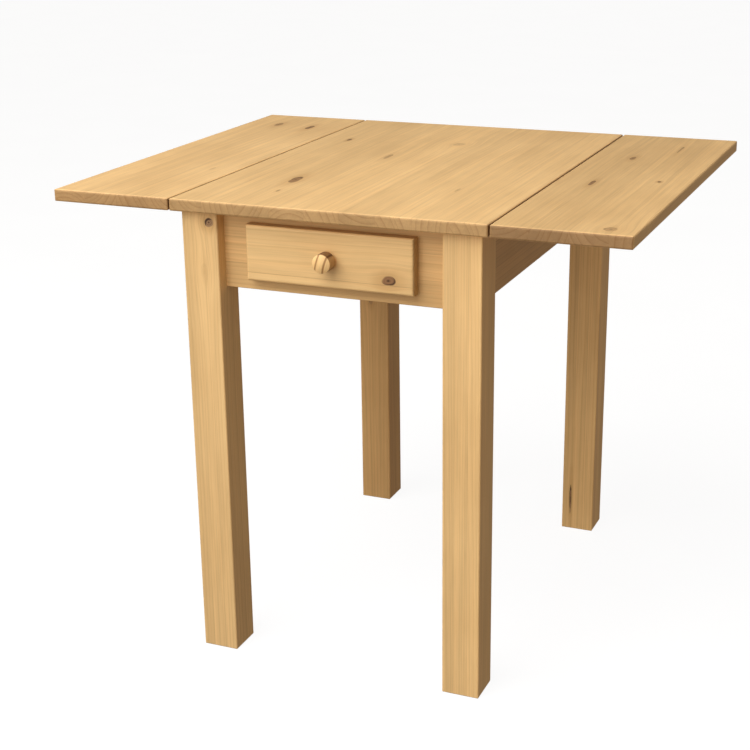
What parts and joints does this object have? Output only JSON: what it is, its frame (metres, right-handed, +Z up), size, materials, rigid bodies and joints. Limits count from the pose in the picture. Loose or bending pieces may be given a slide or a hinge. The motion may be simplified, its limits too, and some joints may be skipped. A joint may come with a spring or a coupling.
{
  "type": "drop-leaf table",
  "caption": "Square pine kitchen table whose hinged side leaves rest on pull-out lopers, with a shallow drawer with a turned knob in the front apron.",
  "frame": {"origin": "on the floor under the middle of the table", "axes": "+X to the right as seen from the drawer side, +Y from the drawer side to the rear, +Z up"},
  "size_m": [0.913, 0.7593, 0.755],
  "materials": {
    "pine_top": "clear satin lacquer, edge-glued pine staves",
    "pine_leg": "clear satin lacquer, straight-grained pine",
    "pine_apron": "clear satin lacquer, edge-glued pine strips",
    "pine_drawer": "clear satin lacquer, pine with knots",
    "pine_knob": "turned pine, clear satin lacquer",
    "pine_loper": "planed pine, clear satin lacquer",
    "pine_inner": "planed bare pine",
    "beech_dowel": "plain beech",
    "plywood": "thin birch plywood, unfinished",
    "zinc_steel": "bright zinc plate",
    "hinge_steel": "yellow-passivated steel"
  },
  "bodies": {
    "frame": {"centre_top": "pine_top", "leg_front_left": "pine_leg", "leg_front_right": "pine_leg", "leg_rear_left": "pine_leg", "leg_rear_right": "pine_leg", "front_apron": "pine_apron", "rear_apron": "pine_apron", "side_apron_left": "pine_apron", "side_apron_right": "pine_apron", "apron_dowels": "beech_dowel", "corner_blocks": "pine_inner", "corner_bolts": "zinc_steel", "corner_washers": "zinc_steel", "corner_nuts": "zinc_steel", "top_cleat_front": "pine_inner", "top_cleat_rear": "pine_inner", "cleat_screws": "zinc_steel", "loper_screws": "zinc_steel", "loper_washers": "zinc_steel", "hinge_fixed_left": "hinge_steel", "hinge_fixed_right": "hinge_steel", "hinge_pins_left": "hinge_steel", "hinge_pins_right": "hinge_steel", "hinge_fixed_screws_left": "zinc_steel", "hinge_fixed_screws_right": "zinc_steel", "runner_left": "pine_inner", "runner_right": "pine_inner"},
    "leaf_left": {"leaf_left": "pine_top", "hinge_leaf_left": "hinge_steel", "hinge_leaf_screws_left": "zinc_steel"},
    "leaf_right": {"leaf_right": "pine_top", "hinge_leaf_right": "hinge_steel", "hinge_leaf_screws_right": "zinc_steel"},
    "loper_left_front": {"loper_left_front": "pine_loper"},
    "loper_left_rear": {"loper_left_rear": "pine_loper"},
    "loper_right_front": {"loper_right_front": "pine_loper"},
    "loper_right_rear": {"loper_right_rear": "pine_loper"},
    "drawer": {"drawer_front": "pine_drawer", "drawer_inner_front": "pine_inner", "drawer_side_left": "pine_inner", "drawer_side_right": "pine_inner", "drawer_back": "pine_inner", "drawer_bottom": "plywood", "drawer_dowels": "beech_dowel", "drawer_front_screws": "zinc_steel", "drawer_knob": "pine_knob", "knob_screw": "zinc_steel"}
  },
  "joints": [
    {"name": "leaf_left_hinge", "type": "hinge", "parent": "frame", "child": "leaf_left", "pos_m": [-0.2535, 0, 0.73425], "axis": [0, -1, 0], "range_deg": [0, 90]},
    {"name": "leaf_right_hinge", "type": "hinge", "parent": "frame", "child": "leaf_right", "pos_m": [0.2535, 0, 0.73425], "axis": [0, 1, 0], "range_deg": [0, 90]},
    {"name": "loper_left_front_slide", "type": "slide", "parent": "frame", "child": "loper_left_front", "axis": [1, 0, 0], "range_m": [-0.192, 0]},
    {"name": "loper_left_rear_slide", "type": "slide", "parent": "frame", "child": "loper_left_rear", "axis": [1, 0, 0], "range_m": [-0.192, 0]},
    {"name": "loper_right_front_slide", "type": "slide", "parent": "frame", "child": "loper_right_front", "axis": [-1, 0, 0], "range_m": [-0.192, 0]},
    {"name": "loper_right_rear_slide", "type": "slide", "parent": "frame", "child": "loper_right_rear", "axis": [-1, 0, 0], "range_m": [-0.192, 0]},
    {"name": "drawer_slide", "type": "slide", "parent": "frame", "child": "drawer", "axis": [0, -1, 0], "range_m": [0, 0.3]}
  ]
}
